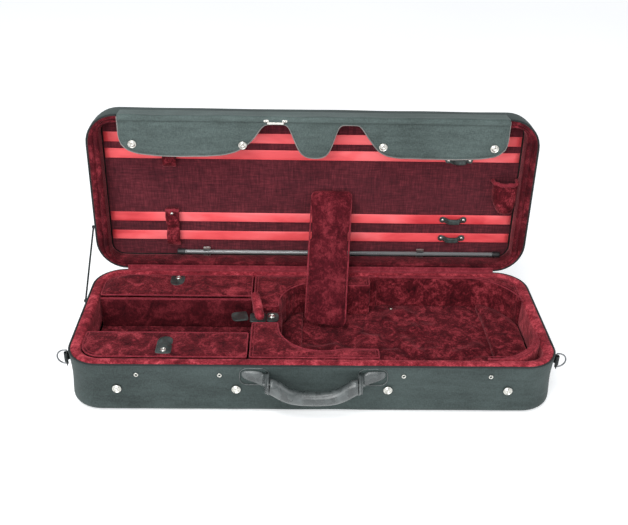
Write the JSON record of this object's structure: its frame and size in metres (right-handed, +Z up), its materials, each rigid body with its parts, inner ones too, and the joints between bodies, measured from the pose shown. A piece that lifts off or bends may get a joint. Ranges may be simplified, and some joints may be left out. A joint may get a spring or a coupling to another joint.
{
  "type": "violin case",
  "caption": "Oblong violin case standing open: shaped velvet well, lidded boxes, bow ribbons and holders, string tube, front flap, handle and strap rings.",
  "frame": {"origin": "centre of the base's underside, on the surface that the case stands on", "axes": "+X along the case towards the tail end of the violin well, +Y towards the hinge side, +Z up"},
  "size_m": [0.8418, 0.3951, 0.3968],
  "materials": {
    "outer_cloth": "woven nylon",
    "lining_velvet": "crushed velvet",
    "panel_weave": "open weave",
    "ribbon_satin": "satin",
    "black_leather": "smooth",
    "snap_metal": "nickel",
    "handle_plastic": "moulded, satin",
    "black_plastic": "matte",
    "clear_plastic": "clear"
  },
  "bodies": {
    "base": {"base_shell": "outer_cloth", "base_piping": "black_leather", "wall_lining": "lining_velvet", "well_floor": "lining_velvet", "rear_block": "lining_velvet", "front_block": "lining_velvet", "corner_block": "lining_velvet", "tail_wall": "lining_velvet", "neck_support": "lining_velvet", "neck_cradle": "lining_velvet", "neck_strap_middle": "black_leather", "rear_divider": "lining_velvet", "front_divider": "lining_velvet", "neck_end_cushion": "lining_velvet", "tail_cushion": "lining_velvet", "well_button": "snap_metal", "snap_studs": "snap_metal", "eyelets": "snap_metal", "handle_mount_left": "handle_plastic", "handle_mount_right": "handle_plastic", "handle_pins": "snap_metal", "ring_tab_left": "black_leather", "ring_tab_right": "black_leather", "hinge_tape": "outer_cloth", "pad_lower": "lining_velvet"},
    "rear_cover": {"rear_cover": "lining_velvet", "rear_tab": "black_leather", "rear_tab_snap": "snap_metal"},
    "front_cover": {"front_cover": "lining_velvet", "front_tab": "black_leather", "front_tab_snap": "snap_metal"},
    "strap_left": {"neck_strap_left": "black_leather"},
    "strap_right": {"neck_strap_right": "black_leather", "strap_snap": "snap_metal"},
    "handle": {"handle_grip": "handle_plastic"},
    "ring_left": {"ring_left": "snap_metal"},
    "ring_right": {"ring_right": "snap_metal"},
    "lid": {"lid_shell": "outer_cloth", "lid_lining": "lining_velvet", "lid_panel": "panel_weave", "ribbon_1": "ribbon_satin", "ribbon_2": "ribbon_satin", "ribbon_3": "ribbon_satin", "ribbon_4": "ribbon_satin", "bow_holder_lower": "lining_velvet", "bow_holder_upper": "lining_velvet", "holder_rivets": "snap_metal", "bow_loops": "black_leather", "loop_rivets": "snap_metal", "lid_pocket": "lining_velvet", "tube_clips": "black_plastic", "lid_stay": "black_leather"},
    "string_tube": {"string_tube": "clear_plastic", "tube_cap_right": "black_plastic"},
    "tube_cap": {"tube_cap_left": "black_plastic"},
    "flap": {"front_flap": "outer_cloth", "flap_snaps": "snap_metal", "flap_keeper": "snap_metal"},
    "pad": {"pad_upper": "lining_velvet"}
  },
  "joints": [
    {"name": "lid_hinge", "type": "hinge", "parent": "base", "child": "lid", "pos_m": [0, 0.15, 0.095], "axis": [-1, 0, 0], "range_deg": [-92, 0], "deforming": ["lid_stay"]},
    {"name": "flap_hinge", "type": "hinge", "parent": "lid", "child": "flap", "pos_m": [0, 0.16047, 0.39482], "axis": [-1, 0, 0], "range_deg": [0, 92]},
    {"name": "pad_fold", "type": "hinge", "parent": "base", "child": "pad", "pos_m": [0.03, 0.08949, 0.11126], "axis": [-1, 0, 0], "range_deg": [-125, 0]},
    {"name": "handle_swing", "type": "hinge", "parent": "base", "child": "handle", "pos_m": [0, -0.172, 0.073], "axis": [-1, 0, 0], "range_deg": [0, 100]},
    {"name": "rear_cover_hinge", "type": "hinge", "parent": "base", "child": "rear_cover", "pos_m": [-0.243, 0.056, 0.0945], "axis": [1, 0, 0], "range_deg": [0, 90]},
    {"name": "front_cover_hinge", "type": "hinge", "parent": "base", "child": "front_cover", "pos_m": [-0.243, -0.058, 0.0945], "axis": [-1, 0, 0], "range_deg": [0, 90]},
    {"name": "strap_left_fold", "type": "hinge", "parent": "base", "child": "strap_left", "pos_m": [-0.113, 0.002, 0.0882], "axis": [-0.2079, 0.9781, 0], "range_deg": [0, 70]},
    {"name": "strap_right_fold", "type": "hinge", "parent": "base", "child": "strap_right", "pos_m": [-0.08, -0.003, 0.0882], "axis": [0, -1, 0], "range_deg": [0, 70]},
    {"name": "ring_left_turn", "type": "hinge", "parent": "base", "child": "ring_left", "pos_m": [-0.4036, -0.104, 0.075], "axis": [0, 0, 1], "range_deg": [-70, 70]},
    {"name": "ring_right_turn", "type": "hinge", "parent": "base", "child": "ring_right", "pos_m": [0.4036, -0.104, 0.075], "axis": [0, 0, 1], "range_deg": [-70, 70]},
    {"name": "tube_release", "type": "slide", "parent": "lid", "child": "string_tube", "axis": [0, -0.9994, 0.0349], "range_m": [0, 0.03]},
    {"name": "tube_cap_pull", "type": "slide", "parent": "string_tube", "child": "tube_cap", "axis": [-1, 0, 0], "range_m": [0, 0.025]}
  ],
  "couplings": [
    {"joint": "flap_hinge", "follows": "lid_hinge", "ratio": -1},
    {"joint": "pad_fold", "follows": "lid_hinge", "ratio": 1.354}
  ]
}
